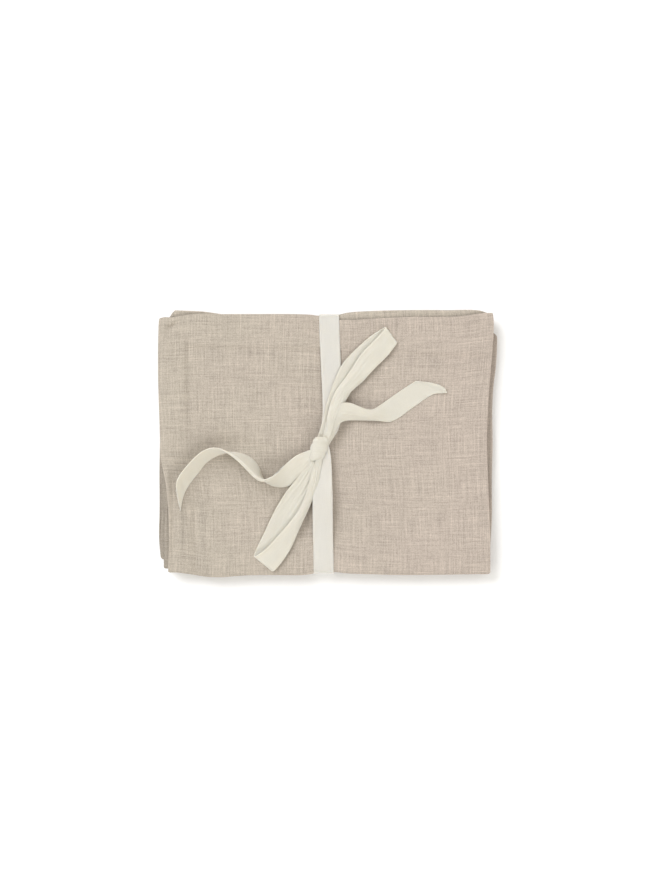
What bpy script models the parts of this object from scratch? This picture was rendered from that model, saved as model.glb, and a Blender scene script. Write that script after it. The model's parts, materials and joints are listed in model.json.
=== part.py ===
"""A set of four quarter-folded linen cloths, stacked and tied with a cotton tape in a bow.

Metres, +Z up. The stack lies flat on Z = 0, its long side runs along X, and the
tape runs round it along Y. The origin is the middle of the underside of the
whole object's box.
"""

import math

import bmesh
import bpy
from mathutils import Vector

MM = 0.001

# ---------------------------------------------------------------- dimensions
OBJECT_NAME = "tied_linen_cloth_set"
CLOTH_COUNT = 4
CLOTH_THICK = 4.2 * MM      # four layers of a quarter-folded linen cloth, with its hems
CLOTH_GAP = 0.3 * MM        # clearance between neighbouring solids
FOLD_ROUND = 1.4 * MM       # rounding of the folded and hemmed edges
CORNER_CUT = 5.0 * MM       # how far the soft corners are rounded back
STACK_TOP = CLOTH_COUNT * CLOTH_THICK + (CLOTH_COUNT - 1) * CLOTH_GAP

TAPE_WIDTH = 20.0 * MM      # standard cotton tape
TAPE_THICK = 0.8 * MM
TAPE_CLEAR = 0.3 * MM
CHANNEL_SIDE = 0.5 * MM     # how much wider the pressed-in channel is, each side

KNOT_SIZE = (19.0 * MM, 24.0 * MM, 8.6 * MM)
KNOT_CENTRE = (-8.4 * MM, -6.6 * MM, 25.0 * MM)
KNOT_TURN = math.radians(-28.0)

LINEN = ((0.560, 0.480, 0.392, 1.0), 0.92)
COTTON = ((0.800, 0.762, 0.672, 1.0), 0.88)

# Cloth outlines, seen from above, in millimetres, anticlockwise from the lower left.
# The folded edges are at the left and the bottom, the open hems at the right and the top.
CLOTH_OUTLINES = {
    "linen_cloth_1": [
        (-157.0, -130.0), (-137.0, -133.2), (-112.0, -133.6), (-66.0, -131.8),
        (-11.0, -128.9), (8.0, -129.6), (72.0, -131.6), (162.4, -130.6),
        (162.0, -96.0), (160.0, -36.0), (158.6, 4.0), (160.0, 50.0),
        (164.2, 93.0), (165.6, 122.0), (164.4, 130.4), (150.0, 130.2),
        (122.0, 127.2), (70.0, 126.2), (-10.0, 126.6), (-113.0, 126.6),
        (-160.0, 126.4), (-167.6, 122.4), (-169.2, 108.0), (-168.8, 63.0),
        (-167.2, 13.0), (-165.0, -17.0), (-161.4, -37.0), (-158.8, -57.0),
        (-157.6, -87.0),
    ],
    "linen_cloth_2": [
        (-160.6, -126.6), (-112.0, -131.4), (-60.0, -130.4), (0.0, -128.4),
        (80.0, -130.4), (162.8, -130.0), (164.4, -96.0), (165.2, -66.0),
        (165.4, -36.0), (165.0, 4.0), (166.4, 60.0), (169.2, 86.0),
        (169.4, 109.0), (167.0, 112.0), (164.6, 129.4), (156.0, 131.8),
        (112.0, 133.4), (52.0, 132.6), (10.0, 128.8), (-28.0, 129.2),
        (-113.0, 130.0), (-146.0, 133.6), (-156.0, 132.8), (-166.0, 124.0),
        (-168.6, 70.0), (-168.0, 10.0), (-165.4, -40.0), (-164.2, -90.0),
    ],
    "linen_cloth_3": [
        (-164.4, -122.6), (-112.0, -130.4), (-60.0, -129.6), (0.0, -128.2),
        (80.0, -129.4), (162.4, -129.0), (164.0, -80.0), (165.0, -24.0),
        (165.2, 30.0), (168.2, 78.0), (168.8, 106.0), (163.8, 129.6),
        (120.0, 133.0), (60.0, 132.0), (10.0, 128.6), (-60.0, 128.8),
        (-110.0, 129.8), (-148.0, 131.6), (-166.0, 123.6), (-169.0, 70.0),
        (-167.4, 10.0), (-167.0, -40.0), (-166.6, -88.0),
    ],
    "linen_cloth_4": [
        (-167.4, -115.0), (-160.0, -120.0), (-112.0, -129.6), (-60.0, -128.8),
        (0.0, -128.0), (80.0, -128.6), (161.6, -128.2), (163.4, -80.0),
        (164.6, -24.0), (164.8, 30.0), (167.4, 74.0), (168.0, 100.0),
        (163.0, 128.8), (120.0, 132.6), (60.0, 132.4), (10.0, 128.4),
        (-60.0, 128.2), (-110.0, 129.2), (-146.0, 130.6), (-165.4, 122.4),
        (-169.2, 70.0), (-168.0, 10.0), (-168.0, -40.0), (-168.2, -86.0),
    ],
}

# The tape's run round the stack: centre X, Y, Z of its inner face, from the knot
# over the far edge, underneath, over the near edge and back to the knot.
BAND_PATH = [
    (4.8, 7.0, 19.9), (5.0, 20.0, 19.2), (5.0, 33.0, 18.4), (4.4, 50.0, 17.4),
    (3.0, 77.0, 16.6), (2.0, 103.0, 16.4), (1.2, 119.0, 16.1), (1.0, 125.6, 14.9),
    (1.0, 128.2, 11.8), (1.0, 128.6, 8.8), (1.0, 128.2, 5.4), (1.0, 125.6, 2.2),
    (0.8, 119.0, 0.95), (0.4, 100.0, 0.85), (-0.8, 50.0, 0.85), (-1.8, 0.0, 0.85),
    (-2.8, -50.0, 0.85), (-3.9, -100.0, 0.85), (-4.2, -118.6, 0.95), (-4.4, -125.2, 2.2),
    (-4.4, -127.8, 5.4), (-4.4, -128.2, 8.8), (-4.4, -127.8, 11.8), (-4.4, -125.2, 14.9),
    (-4.4, -118.6, 16.1), (-4.7, -103.0, 16.4), (-5.0, -77.0, 16.7), (-5.0, -56.0, 17.3),
    (-5.2, -40.0, 18.2), (-5.6, -26.0, 19.3), (-6.0, -16.0, 20.0),
]

# Free lengths of the tape, row by row: one edge (x, y, z), then the other.
BOW_LOOP_UPPER = [
    ((-9.0, 4.6, 24.4), (-2.0, 8.4, 24.2)),
    ((-5.2, 32.2, 22.9), (7.0, 25.2, 22.7)),
    ((3.0, 55.2, 21.6), (18.5, 45.2, 20.9)),
    ((13.0, 77.2, 20.1), (29.0, 66.4, 19.6)),
    ((27.6, 93.8, 19.0), (44.0, 82.2, 18.8)),
    ((42.0, 106.5, 18.8), (58.0, 93.8, 18.7)),
    ((51.2, 112.6, 18.9), (64.0, 99.4, 18.8)),
    ((56.4, 116.4, 20.4), (68.4, 100.4, 20.2)),
    ((50.4, 109.2, 21.9), (63.8, 96.0, 21.8)),
    ((44.0, 102.6, 22.4), (59.0, 88.0, 22.2)),
    ((35.0, 91.8, 23.2), (49.0, 76.4, 22.8)),
    ((26.4, 77.2, 24.2), (36.0, 62.2, 23.4)),
    ((16.0, 63.2, 25.2), (24.0, 52.8, 24.4)),
    ((6.6, 51.2, 26.2), (16.0, 41.0, 25.2)),
    ((1.6, 33.0, 26.8), (10.4, 25.0, 26.2)),
    ((-5.6, 8.4, 26.6), (0.6, 8.8, 26.4)),
]
BOW_LOOP_LOWER = [
    ((-22.6, -24.4, 23.0), (-12.0, -25.0, 23.0)),
    ((-35.4, -41.0, 21.2), (-20.0, -46.4, 21.0)),
    ((-44.2, -52.2, 20.2), (-29.0, -62.2, 20.2)),
    ((-53.2, -66.2, 19.4), (-38.0, -78.2, 19.4)),
    ((-63.2, -87.6, 18.9), (-46.0, -98.4, 18.9)),
    ((-71.0, -104.6, 18.8), (-55.4, -118.8, 18.8)),
    ((-74.4, -111.6, 20.4), (-58.4, -127.2, 20.3)),
    ((-66.0, -109.6, 21.9), (-49.4, -121.6, 21.8)),
    ((-58.4, -102.6, 22.4), (-41.6, -112.6, 22.3)),
    ((-48.0, -88.6, 23.2), (-33.4, -96.6, 23.0)),
    ((-36.4, -75.8, 23.8), (-24.6, -78.8, 23.4)),
    ((-27.4, -62.8, 24.2), (-17.2, -63.6, 24.0)),
    ((-20.8, -47.4, 24.8), (-10.6, -46.4, 24.4)),
    ((-17.4, -30.4, 25.6), (-7.0, -26.4, 25.2)),
]
TAPE_TAIL_RIGHT = [
    ((3.0, 3.0, 22.8), (5.4, -1.4, 21.4)),
    ((5.4, 19.0, 21.4), (9.4, 10.0, 21.0)),
    ((10.0, 32.4, 20.6), (12.4, 20.0, 21.6)),
    ((18.0, 40.6, 19.4), (20.4, 23.0, 21.4)),
    ((30.0, 37.0, 18.9), (29.6, 23.0, 21.6)),
    ((40.2, 34.2, 18.8), (40.2, 22.6, 21.6)),
    ((49.4, 36.6, 18.7), (52.0, 22.4, 20.4)),
    ((59.4, 43.0, 18.7), (62.8, 21.4, 19.0)),
    ((70.2, 50.4, 18.7), (76.0, 28.6, 18.7)),
    ((80.0, 57.2, 18.8), (93.6, 39.6, 18.8)),
    ((87.6, 62.2, 19.2), (118.6, 50.4, 19.4)),
]
TAPE_TAIL_LEFT = [
    ((-19.6, -9.6, 24.4), (-20.4, -20.2, 21.8)),
    ((-27.0, -10.0, 25.2), (-28.4, -30.0, 20.0)),
    ((-36.6, -15.6, 26.0), (-38.0, -41.2, 19.0)),
    ((-45.0, -23.6, 28.0), (-50.4, -43.4, 18.9)),
    ((-52.4, -31.0, 31.6), (-60.4, -41.0, 18.9)),
    ((-62.0, -34.6, 35.6), (-66.0, -35.4, 18.9)),
    ((-75.4, -27.8, 36.6), (-70.0, -25.4, 18.9)),
    ((-88.0, -16.6, 36.8), (-81.4, -11.6, 18.9)),
    ((-101.0, -7.6, 36.8), (-98.4, -4.6, 18.9)),
    ((-112.6, -4.4, 36.2), (-112.4, -8.4, 18.9)),
    ((-124.4, -6.4, 35.0), (-122.0, -16.4, 18.9)),
    ((-134.6, -14.6, 34.0), (-130.0, -28.0, 18.9)),
    ((-144.0, -25.6, 33.0), (-138.0, -40.0, 18.9)),
    ((-150.6, -36.6, 31.0), (-144.0, -52.4, 18.9)),
    ((-151.4, -50.4, 26.0), (-147.0, -66.4, 18.9)),
]


# ------------------------------------------------------------------ helpers
def clear_scene():
    for obj in list(bpy.data.objects):
        bpy.data.objects.remove(obj, do_unlink=True)


def collection(name):
    made = bpy.data.collections.new(name)
    bpy.context.scene.collection.children.link(made)
    return made


def material(name, look):
    (r, g, b, a), roughness = look
    made = bpy.data.materials.new(name)
    made.use_nodes = True
    shader = made.node_tree.nodes["Principled BSDF"]
    shader.inputs["Base Color"].default_value = (r, g, b, a)
    shader.inputs["Roughness"].default_value = roughness
    shader.inputs["Metallic"].default_value = 0.0
    made.diffuse_color = (r, g, b, a)
    return made


def smooth_points(points, steps, closed):
    """Points along a Catmull-Rom curve through the given ones."""
    n = len(points)
    out = []
    spans = n if closed else n - 1
    for i in range(spans):
        p1, p2 = points[i], points[(i + 1) % n]
        p0 = points[i - 1] if (closed or i) else p1
        p3 = points[(i + 2) % n] if (closed or i + 2 < n) else p2
        for s in range(steps):
            t = s / steps
            out.append(
                tuple(
                    0.5 * (
                        2 * b + (c - a) * t
                        + (2 * a - 5 * b + 4 * c - d) * t * t
                        + (3 * b - a - 3 * c + d) * t ** 3
                    )
                    for a, b, c, d in zip(p0, p1, p2, p3)
                )
            )
    if not closed:
        out.append(tuple(points[-1]))
    return out


def rounded_outline(points, radius):
    """The outline with each real corner replaced by a short curve."""
    n = len(points)
    out = []
    for i, here in enumerate(points):
        p, a, b = Vector(here), Vector(points[i - 1]), Vector(points[(i + 1) % n])
        back, ahead = a - p, b - p
        turn = math.pi - back.angle(ahead)
        if turn < math.radians(24.0):
            out.append(tuple(p))
            continue
        cut = min(radius, 0.45 * back.length, 0.45 * ahead.length)
        start, end = p + back.normalized() * cut, p + ahead.normalized() * cut
        for t in (0.0, 0.3, 0.7, 1.0):
            q = start * (1 - t) ** 2 + p * (2 * t * (1 - t)) + end * t * t
            out.append(tuple(q))
    return out


def ribbon_mesh(name, rows, width_cuts):
    """An open strip lofted between two edges, given row by row in millimetres."""
    flat = [tuple(a) + tuple(b) for a, b in rows]
    fine = smooth_points(flat, 2, False)
    bm = bmesh.new()
    grid = []
    for row in fine:
        a, b = Vector(row[:3]), Vector(row[3:])
        grid.append(
            [bm.verts.new(a.lerp(b, k / width_cuts) * MM) for k in range(width_cuts + 1)]
        )
    for lower, upper in zip(grid, grid[1:]):
        for k in range(width_cuts):
            bm.faces.new((lower[k], lower[k + 1], upper[k + 1], upper[k]))
    mesh = bpy.data.meshes.new(name)
    bm.to_mesh(mesh)
    bm.free()
    mesh.shade_smooth()
    return mesh


def thicken(obj, thickness, offset):
    solid = obj.modifiers.new("thickness", "SOLIDIFY")
    solid.thickness = thickness
    solid.offset = offset
    solid.use_even_offset = True
    solid.use_rim = True
    return solid


def band_rows(width, inset):
    """The band's rows; a positive inset moves the inner face in towards the stack."""
    half = 0.5 * width / MM
    centre_y, centre_z = 0.0, 8.85
    rows = []
    n = len(BAND_PATH)
    for i, (x, y, z) in enumerate(BAND_PATH):
        before, after = BAND_PATH[max(i - 1, 0)], BAND_PATH[min(i + 1, n - 1)]
        ty, tz = after[1] - before[1], after[2] - before[2]
        length = math.hypot(ty, tz)
        ny, nz = -tz / length, ty / length
        if ny * (centre_y - y) / 130.0 + nz * (centre_z - z) / 9.0 < 0:
            ny, nz = -ny, -nz
        y2, z2 = y + ny * inset, z + nz * inset
        rows.append(((x - half, y2, z2), (x + half, y2, z2)))
    return rows


def cloth_solid(name, outline, level, owner, skin):
    """One folded cloth: its outline filled and extruded, with rounded edges."""
    curve = bpy.data.curves.new(name, "CURVE")
    curve.dimensions = "2D"
    curve.fill_mode = "BOTH"
    curve.extrude = 0.5 * CLOTH_THICK - FOLD_ROUND
    curve.bevel_depth = FOLD_ROUND
    curve.bevel_resolution = 1
    curve.offset = -FOLD_ROUND
    points = rounded_outline(outline, CORNER_CUT / MM)
    spline = curve.splines.new("POLY")
    spline.points.add(len(points) - 1)
    for point, (x, y) in zip(spline.points, points):
        point.co = (x * MM, y * MM, 0.0, 1.0)
    spline.use_cyclic_u = True
    guide = bpy.data.objects.new(name + "_outline", curve)
    owner.objects.link(guide)
    guide.location = (0.0, 0.0, level + 0.5 * CLOTH_THICK)
    bpy.context.view_layer.update()
    evaluated = guide.evaluated_get(bpy.context.evaluated_depsgraph_get())
    mesh = bpy.data.meshes.new_from_object(evaluated)
    bm = bmesh.new()
    bm.from_mesh(mesh)
    bmesh.ops.remove_doubles(bm, verts=bm.verts, dist=0.00002)
    bmesh.ops.recalc_face_normals(bm, faces=bm.faces)
    bm.to_mesh(mesh)
    bm.free()
    obj = bpy.data.objects.new(name, mesh)
    obj.matrix_world = guide.matrix_world.copy()
    bpy.data.objects.remove(guide, do_unlink=True)
    mesh.name = name
    mesh.materials.clear()
    mesh.materials.append(skin)
    owner.objects.link(obj)
    return obj


def strip_solid(name, rows, owner, skin, width_cuts=2):
    obj = bpy.data.objects.new(name, ribbon_mesh(name, rows, width_cuts))
    obj.data.materials.append(skin)
    owner.objects.link(obj)
    thicken(obj, TAPE_THICK, 0.0)
    return obj


def main():
    clear_scene()
    parts = collection(OBJECT_NAME)
    cutters = collection("cutters")
    linen = material("linen", LINEN)
    cotton = material("cotton_tape", COTTON)

    # The channel that the tape presses into the stack.
    channel = bpy.data.objects.new(
        "tape_channel",
        ribbon_mesh(
            "tape_channel",
            band_rows(TAPE_WIDTH + 2 * CHANNEL_SIDE, TAPE_CLEAR / MM),
            1,
        ),
    )
    cutters.objects.link(channel)
    thicken(channel, 7.0 * MM, 1.0)
    channel.hide_render = True
    channel.display_type = "WIRE"

    # The four cloths, the top one first.
    for index, (name, outline) in enumerate(CLOTH_OUTLINES.items()):
        level = STACK_TOP - CLOTH_THICK - index * (CLOTH_THICK + CLOTH_GAP)
        cloth = cloth_solid(name, outline, level, parts, linen)
        cut = cloth.modifiers.new("tape_channel", "BOOLEAN")
        cut.operation = "DIFFERENCE"
        cut.solver = "EXACT"
        cut.object = channel

    # The tape round the stack.
    band = bpy.data.objects.new(
        "tape_band", ribbon_mesh("tape_band", band_rows(TAPE_WIDTH, 0.0), 2)
    )
    band.data.materials.append(cotton)
    parts.objects.link(band)
    thicken(band, TAPE_THICK, 1.0)

    # The bow.
    strip_solid("bow_loop_upper", BOW_LOOP_UPPER, parts, cotton)
    strip_solid("bow_loop_lower", BOW_LOOP_LOWER, parts, cotton)
    strip_solid("tape_tail_right", TAPE_TAIL_RIGHT, parts, cotton)
    strip_solid("tape_tail_left", TAPE_TAIL_LEFT, parts, cotton)

    # The knot: a cube rounded by subdivision, pressed flat.
    bpy.ops.mesh.primitive_cube_add(size=1.0)
    knot = bpy.context.active_object
    knot.name = "tape_knot"
    knot.data.name = "tape_knot"
    for vertex in knot.data.vertices:
        vertex.co = Vector(
            [c * s * 1.12 for c, s in zip(vertex.co, KNOT_SIZE)]
        )
    knot.location = KNOT_CENTRE
    knot.rotation_euler = (0.0, 0.0, KNOT_TURN)
    knot.data.materials.append(cotton)
    for holder in list(knot.users_collection):
        holder.objects.unlink(knot)
    parts.objects.link(knot)
    rounding = knot.modifiers.new("rounding", "SUBSURF")
    rounding.levels = 3
    rounding.render_levels = 3
    knot.data.shade_smooth()


main()
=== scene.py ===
import json
import math

import bpy
import numpy as np
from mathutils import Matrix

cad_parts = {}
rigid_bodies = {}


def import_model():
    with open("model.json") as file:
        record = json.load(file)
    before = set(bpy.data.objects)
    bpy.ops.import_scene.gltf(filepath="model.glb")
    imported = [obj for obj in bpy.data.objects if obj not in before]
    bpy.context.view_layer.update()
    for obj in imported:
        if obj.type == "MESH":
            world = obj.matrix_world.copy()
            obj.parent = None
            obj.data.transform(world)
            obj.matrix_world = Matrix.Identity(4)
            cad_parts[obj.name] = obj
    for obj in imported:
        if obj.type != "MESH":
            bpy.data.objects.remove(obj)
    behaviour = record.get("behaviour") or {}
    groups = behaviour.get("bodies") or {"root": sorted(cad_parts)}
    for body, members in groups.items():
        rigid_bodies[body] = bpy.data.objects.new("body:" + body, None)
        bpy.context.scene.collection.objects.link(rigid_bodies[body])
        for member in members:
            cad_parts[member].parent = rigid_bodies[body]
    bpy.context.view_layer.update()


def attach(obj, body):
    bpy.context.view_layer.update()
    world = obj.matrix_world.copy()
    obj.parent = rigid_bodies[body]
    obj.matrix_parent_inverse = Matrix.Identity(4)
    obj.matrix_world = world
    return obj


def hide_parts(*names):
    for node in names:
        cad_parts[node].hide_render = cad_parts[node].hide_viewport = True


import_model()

MM = 0.001

# ------------------------------------------------------------------ the camera
# Straight down on the bundle.
CAMERA_X, CAMERA_Y, CAMERA_HEIGHT = 4.0 * MM, 0.25 * MM, 2479.0 * MM
camera_data = bpy.data.cameras.new("camera")
camera_data.lens = 100.0
camera_data.sensor_width = 36.0
camera_data.sensor_fit = "AUTO"
camera_data.clip_end = 50.0
camera = bpy.data.objects.new("camera", camera_data)
camera.location = (CAMERA_X, CAMERA_Y, CAMERA_HEIGHT)
bpy.context.scene.collection.objects.link(camera)
bpy.context.scene.camera = camera
bpy.context.scene.view_settings.view_transform = "Standard"

# ------------------------------------------------------------------ dimensions
PLIES = 16                   # four cloths, each folded in four
PLY_GAP = 1.12               # mm between neighbouring layers
CLOTH_WIDE = 334.0           # mm across a folded cloth
CLOTH_LONG = 262.0
STACK_TOP = 17.75            # mm, height of the topmost layer
CLOTH_THIN = 0.46            # mm, the linen itself
HEM_THICK = 0.86             # mm, at the turned hem
HEM_WIDE = 9.0
TAPE_WIDE = 20.0
TAPE_THICK = 0.62

# Outlines of each cloth, seen from above, in mm. left and right are (y, x) lists from the
# near edge to the far one, bottom and top are (x, y) lists from left to right.
OUTLINES = [
    {   # the top cloth; "behind" is where its lower layers end, past the front panel's edge
        "left": [(-131, -159.9), (-120, -159.4), (-104, -158.9), (-87, -159.0), (-67, -159.6),
                 (-57, -160.4), (-45, -161.6), (-37, -162.6), (-28, -164.2), (-18, -166.2),
                 (-6, -167.6), (13, -168.2), (38, -168.9), (63, -169.7), (83, -169.9),
                 (108, -169.8), (119, -169.6), (129, -169.0)],
        "right": [(-131, 162.4), (-96, 162.2), (-67, 161.2), (-37, 160.2), (-17, 159.4),
                  (4, 159.0), (28, 159.8), (50, 161.0), (72, 162.8), (93, 164.6),
                  (118, 165.8), (124, 165.6), (131, 164.6)],
        "bottom": [(-160, -129.2), (-152, -130.2), (-144, -131.4), (-137, -132.6), (-126, -133.8),
                   (-116, -134.0), (-104, -133.2), (-90, -132.2), (-66, -131.8), (-50, -131.9),
                   (-38, -132.0), (-24, -131.3), (-13, -129.4), (-4, -128.7), (5, -128.8),
                   (14, -129.8), (40, -130.9), (72, -131.7), (120, -131.4), (163, -130.7)],
        "top": [(-169, 125.2), (-163, 126.2), (-158, 125.9), (-153, 126.6), (-148, 127.4),
                (-143, 128.2), (-133, 129.3), (-123, 129.7), (-113, 129.1), (-98, 129.2),
                (-68, 129.2), (-28, 129.0), (-16, 128.4), (-8, 127.0), (0, 125.2), (8, 123.9),
                (16, 123.2), (24, 123.2), (34, 123.9), (42, 124.5), (62, 125.4), (82, 126.3),
                (102, 126.4), (122, 126.4), (134, 127.2), (142, 128.2), (152, 129.6),
                (160, 130.4), (165, 130.6)],
        "behind": [(-161, 121.0), (-159.4, 124.4), (-158.0, 128.0), (-156.6, 131.2), (-155, 132.6),
                   (-152, 133.0), (-143, 132.7), (-133, 132.3), (-123, 131.6), (-113, 130.2),
                   (-104, 128.9), (-90, 128.4), (-60, 128.4), (-28, 128.2), (-14, 127.9),
                   (-4, 127.7), (7, 127.9), (11, 128.4), (15, 129.5), (22, 130.9), (32, 131.7),
                   (42, 132.2), (62, 132.9), (82, 133.2), (102, 133.3), (122, 133.1),
                   (142, 133.5), (151, 133.2), (156, 132.3), (160, 130.9), (163, 129.6)],
    },
    {   # the second cloth
        "left": [(-131, -164.4), (-120, -164.2), (-110, -163.8), (-90, -163.2), (-60, -163.3),
                 (-45, -163.6), (-34, -164.2), (-24, -165.6), (-14, -167.0), (0, -167.4),
                 (30, -168.2), (80, -168.9), (120, -168.0), (129, -167.0)],
        "right": [(-131, 161.4), (-96, 161.2), (-37, 159.4), (4, 158.0), (50, 160.2),
                  (93, 164.0), (122, 165.2), (131, 163.6)],
        "bottom": [(-165, -125.4), (-158, -126.0), (-148, -129.0), (-138, -131.0), (-112, -132.6),
                   (-60, -130.8), (-30, -130.2), (-13, -128.7), (-4, -128.4), (5, -128.5),
                   (14, -129.0), (80, -130.6), (163, -130.0)],
        "top": [(-163, 119.0), (-160.4, 122.0), (-159.2, 125.0), (-157.8, 128.6), (-156.2, 131.0),
                (-152, 132.2), (-143, 131.9), (-133, 131.5), (-123, 130.8), (-113, 129.5),
                (-104, 128.4), (-90, 128.0), (-60, 128.0), (-28, 127.9), (-14, 127.7),
                (-4, 127.6), (7, 127.8), (12, 128.3), (22, 130.2), (42, 131.5), (62, 132.1),
                (102, 132.5), (142, 132.7), (151, 132.3), (156, 131.4), (160, 130.2), (163, 129.2)],
    },
    {   # the third cloth, whose far right corner shows lower down
        "left": [(-131, -167.2), (-120, -167.8), (-110, -168.0), (-98, -167.4), (-86, -166.8),
                 (-70, -166.8), (-55, -167.0), (-40, -167.4), (-20, -167.8), (20, -168.0),
                 (80, -169.0), (120, -166.9), (129, -166.1)],
        "right": [(-131, 161.6), (-117, 161.9), (-96, 163.0), (-66, 164.6), (-36, 164.8),
                  (3, 164.8), (34, 165.2), (60, 166.8), (74, 168.6), (86, 169.6), (106, 170.0),
                  (109.5, 169.2), (111.5, 167.0), (114, 164.4), (120, 162.8), (131, 161.8)],
        "bottom": [(-168, -116.2), (-164.6, -116.8), (-160, -123.0), (-150, -127.4), (-140, -129.4),
                   (-112, -131.0), (-60, -130.0), (-13, -128.4), (8, -128.4), (80, -129.8),
                   (162.4, -129.2)],
        "top": [(-167, 119.0), (-158, 126.0), (-152, 130.6), (-143, 131.0), (-123, 129.9),
                (-110, 128.7), (-60, 127.8), (-10, 127.6), (8, 127.8), (22, 129.4),
                (60, 131.2), (120, 131.9), (150, 131.2), (163, 128.6)],
    },
    {   # the bottom cloth
        "left": [(-131, -168.0), (-118, -169.2), (-112, -169.6), (-98, -169.8), (-86, -169.4),
                 (-60, -169.2), (-40, -169.4), (-20, -169.2), (10, -168.8), (70, -169.6),
                 (120, -166.6), (129, -165.8)],
        "right": [(-131, 161.0), (-96, 162.4), (-36, 164.0), (3, 163.8), (60, 165.2),
                  (86, 167.6), (100, 168.0), (108, 166.6), (113, 164.0), (131, 161.2)],
        "bottom": [(-170, -115.6), (-165.6, -116.0), (-161, -120.4), (-150, -125.0), (-140, -127.6),
                   (-112, -129.8), (-60, -129.2), (-13, -128.2), (8, -128.2), (80, -129.0),
                   (161.6, -128.4)],
        "top": [(-167, 118.4), (-158, 125.0), (-150, 129.6), (-143, 130.2), (-110, 128.0),
                (-60, 127.4), (-10, 127.3), (8, 127.5), (22, 128.8), (60, 130.6),
                (120, 131.3), (150, 130.4), (163, 128.0)],
    },
]

# The tape's centre line over the stack: (x, y, z, half width), from the knot outwards.
BAND_TOP = [(-9.0, -9.0, 22.6, 5.6), (-6.5, -3.0, 22.8, 6.5), (-2.6, 5.0, 22.8, 7.8), (0.8, 12.0, 22.6, 8.7),
            (3.2, 21.0, 22.2, 9.3), (4.5, 33.0, 21.4, 9.8), (4.5, 46.0, 20.4, 10.0), (3.9, 60.0, 19.6, 10.0),
            (3.0, 77.0, 19.0, 10.0), (2.3, 92.0, 18.6, 10.0), (1.7, 106.0, 18.4, 10.0)]
BAND_NEAR = [(-4.6, -108.0, 18.4, 10.0), (-4.9, -96.0, 19.2, 10.0), (-5.1, -82.0, 20.9, 10.0),
             (-5.3, -68.0, 22.4, 10.0), (-5.4, -52.0, 23.4, 10.0), (-5.7, -36.0, 23.9, 9.8),
             (-6.0, -22.0, 24.0, 9.5), (-6.3, -12.0, 23.9, 9.0), (-6.8, -4.0, 23.6, 8.0),
             (-7.5, 3.0, 22.6, 6.5)]

LOOP_UPPER_ROWS = [
    (((-13.5, -5.0, 24.9), (-7.5, -8.0, 24.7)), 0.12, 0.06),
    (((-11.2, 4.6, 25.0), (-3.6, 2.0, 24.7)), 0.12, 0.09),
    (((-8.4, 12.2, 24.5), (0.6, 10.2, 24.1)), 0.12, 0.10),
    (((-4.5, 25.2, 24.0), (6.0, 22.2, 23.0)), 0.08, 0.15),
    (((-1.5, 39.2, 22.7), (13.0, 34.2, 21.9)), 0.00, 0.12),
    (((3.0, 53.2, 21.7), (20.0, 46.2, 21.1)), -0.08, 0.10),
    (((8.0, 66.2, 21.0), (26.0, 57.2, 20.4)), -0.12, 0.07),
    (((13.0, 77.2, 20.5), (31.5, 67.2, 19.9)), -0.12, 0.06),
    (((20.0, 86.2, 20.2), (38.5, 76.2, 19.6)), -0.08, 0.04),
    (((27.6, 93.8, 20.0), (45.5, 83.2, 19.4)), 0.00, 0.03),
    (((35.0, 100.7, 19.9), (52.0, 88.7, 19.3)), 0.00, 0.02),
    (((42.0, 106.7, 19.8), (58.0, 93.7, 19.2)), 0.00, 0.01),
    (((49.5, 111.8, 18.9), (63.5, 97.2, 18.9)), 0.00, 0.01),
    (((54.5, 114.8, 19.1), (67.0, 99.4, 19.1)), 0.00, 0.00),
    (((57.3, 116.4, 19.9), (68.9, 100.6, 19.9)), 0.00, 0.00),
    (((57.5, 115.7, 20.9), (68.9, 100.1, 20.8)), 0.00, 0.00),
    (((55.1, 112.5, 21.7), (66.5, 96.3, 21.4)), 0.20, 0.00),
    (((50.4, 107.1, 21.2), (61.3, 89.5, 21.4)), 0.24, 0.02),
    (((43.9, 100.1, 21.5), (54.9, 82.7, 21.6)), 0.47, 0.04),
    (((36.4, 93.0, 21.5), (48.5, 76.5, 21.8)), 0.62, 0.07),
    (((30.6, 85.2, 21.6), (41.5, 69.1, 22.0)), 0.78, 0.13),
    (((24.6, 75.6, 21.8), (34.9, 61.9, 21.4)), 1.71, 0.16),
    (((18.4, 66.8, 22.0), (27.5, 55.4, 22.0)), 1.95, 0.18),
    (((12.2, 58.4, 22.4), (21.4, 49.4, 22.7)), 2.10, 0.21),
    (((6.8, 50.2, 23.1), (17.2, 41.0, 23.4)), 2.10, 0.21),
    (((2.6, 39.6, 24.1), (13.4, 32.6, 24.2)), 1.95, 0.21),
    (((-0.6, 27.1, 25.4), (9.0, 22.2, 24.9)), 1.71, 0.18),
    (((-2.0, 15.2, 26.2), (5.4, 12.2, 25.4)), 1.48, 0.18),
    (((-5.0, 5.0, 27.3), (1.4, 2.6, 26.4)), 0.42, 0.13),
    (((-11.0, -4.0, 26.7), (-5.5, -6.5, 26.3)), 0.30, 0.07),
]

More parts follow.
